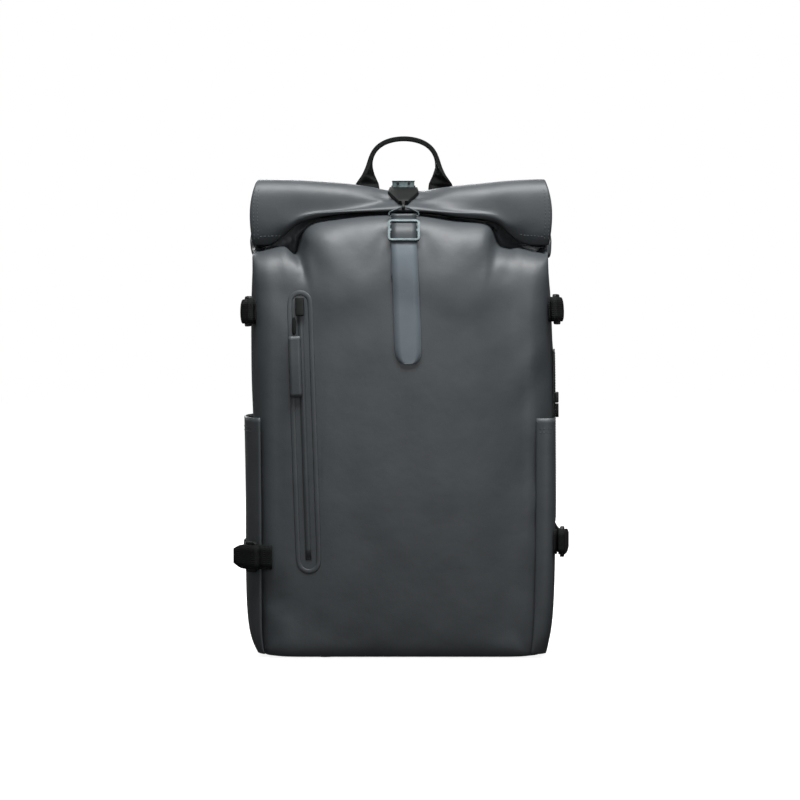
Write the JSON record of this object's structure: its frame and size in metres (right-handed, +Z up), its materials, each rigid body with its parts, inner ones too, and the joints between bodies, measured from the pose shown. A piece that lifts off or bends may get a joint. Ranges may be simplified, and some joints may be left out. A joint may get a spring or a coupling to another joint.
{
  "type": "rolltop backpack",
  "caption": "Upright rolltop backpack of coated cloth, its rolled mouth held by a hooked strap, with slip pockets, compression straps and padded shoulder straps.",
  "frame": {"origin": "on the floor, under the middle of the whole bag's bounding box", "axes": "+Z up, the front panel faces -Y, the wearer's back is at +Y, +X is to the right seen from the front"},
  "size_m": [0.3468, 0.196, 0.5396],
  "materials": {
    "bag_cloth": "coated, semi-matt dark grey",
    "strap_cloth": "smooth coated, mid grey",
    "webbing": "woven, matt black",
    "black_plastic": "matt black",
    "grey_metal": "anodised, satin grey",
    "grey_block": "satin grey-green",
    "pad_mesh": "spacer mesh, matt dark grey"
  },
  "bodies": {
    "root": {"body_shell": "bag_cloth", "closure_strap": "strap_cloth", "strap_slider": "grey_metal", "wire_ring": "grey_metal", "hook_body": "black_plastic", "hook_block": "grey_block", "back_loop": "webbing", "carry_handle": "webbing", "front_pocket_weld": "bag_cloth", "front_zip_tape": "bag_cloth", "front_zip_slider": "black_plastic", "front_pull_cord": "webbing", "front_pull_tab": "bag_cloth", "side_pocket_left": "bag_cloth", "side_pocket_right": "bag_cloth", "side_zip_tape": "black_plastic", "side_zip_slider": "black_plastic", "side_zip_pull": "webbing", "back_pad": "pad_mesh", "shoulder_strap_left": "pad_mesh", "shoulder_strap_right": "pad_mesh", "strap_anchor_left": "bag_cloth", "strap_anchor_right": "bag_cloth", "shoulder_adjuster_left": "black_plastic", "shoulder_adjuster_right": "black_plastic", "shoulder_webbing_left": "webbing", "shoulder_webbing_right": "webbing", "patch_upper_left": "webbing", "ladderlock_upper_left": "black_plastic", "compression_strap_upper_left": "webbing", "patch_upper_right": "webbing", "ladderlock_upper_right": "black_plastic", "compression_strap_upper_right": "webbing", "patch_lower_left": "webbing", "ladderlock_lower_left": "black_plastic", "compression_strap_lower_left": "webbing", "patch_lower_right": "webbing", "ladderlock_lower_right": "black_plastic", "compression_strap_lower_right": "webbing"}
  },
  "joints": []
}
